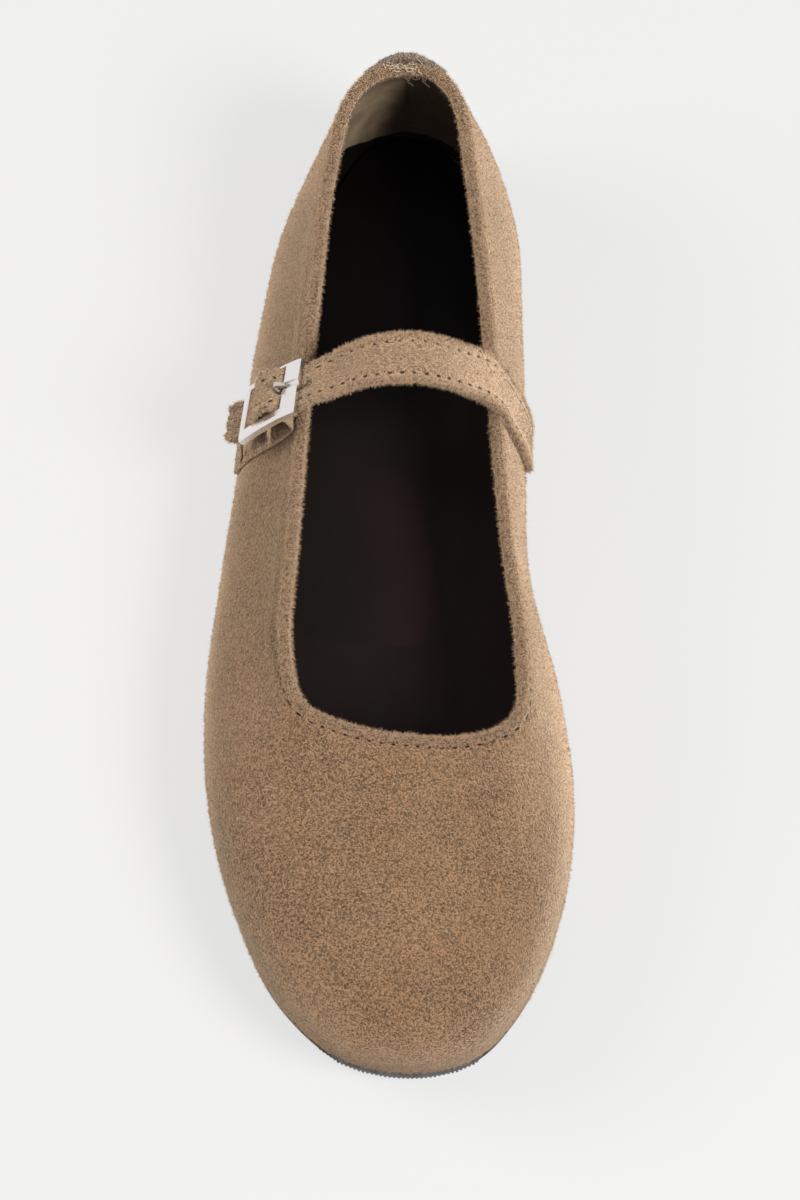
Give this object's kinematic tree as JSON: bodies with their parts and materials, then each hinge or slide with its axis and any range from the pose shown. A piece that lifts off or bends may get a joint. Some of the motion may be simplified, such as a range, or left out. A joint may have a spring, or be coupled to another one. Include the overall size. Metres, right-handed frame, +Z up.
{
  "type": "ballet flat shoe",
  "caption": "Low-cut suede ballet flat for the right foot with a thin rubber sole, a narrow instep strap and a small square buckle.",
  "frame": {"origin": "on the floor under the middle of the shoe's outer box", "axes": "+Y towards the heel, -Y towards the toe, +X towards the big-toe side, +Z up"},
  "size_m": [0.087, 0.2468, 0.0582],
  "materials": {
    "rubber": "matt",
    "suede": "suede",
    "insole_leather": "smooth, slight sheen",
    "dark_suede": "suede",
    "strap_suede": "suede",
    "tab_suede": "suede",
    "bright_steel": "bright",
    "prong_steel": "bright"
  },
  "bodies": {
    "root": {"outsole": "rubber", "upper": "suede", "insole": "insole_leather", "heel_strip": "dark_suede", "instep_strap": "strap_suede", "buckle_tab": "tab_suede", "buckle_frame": "bright_steel", "buckle_prong": "prong_steel"}
  },
  "joints": []
}
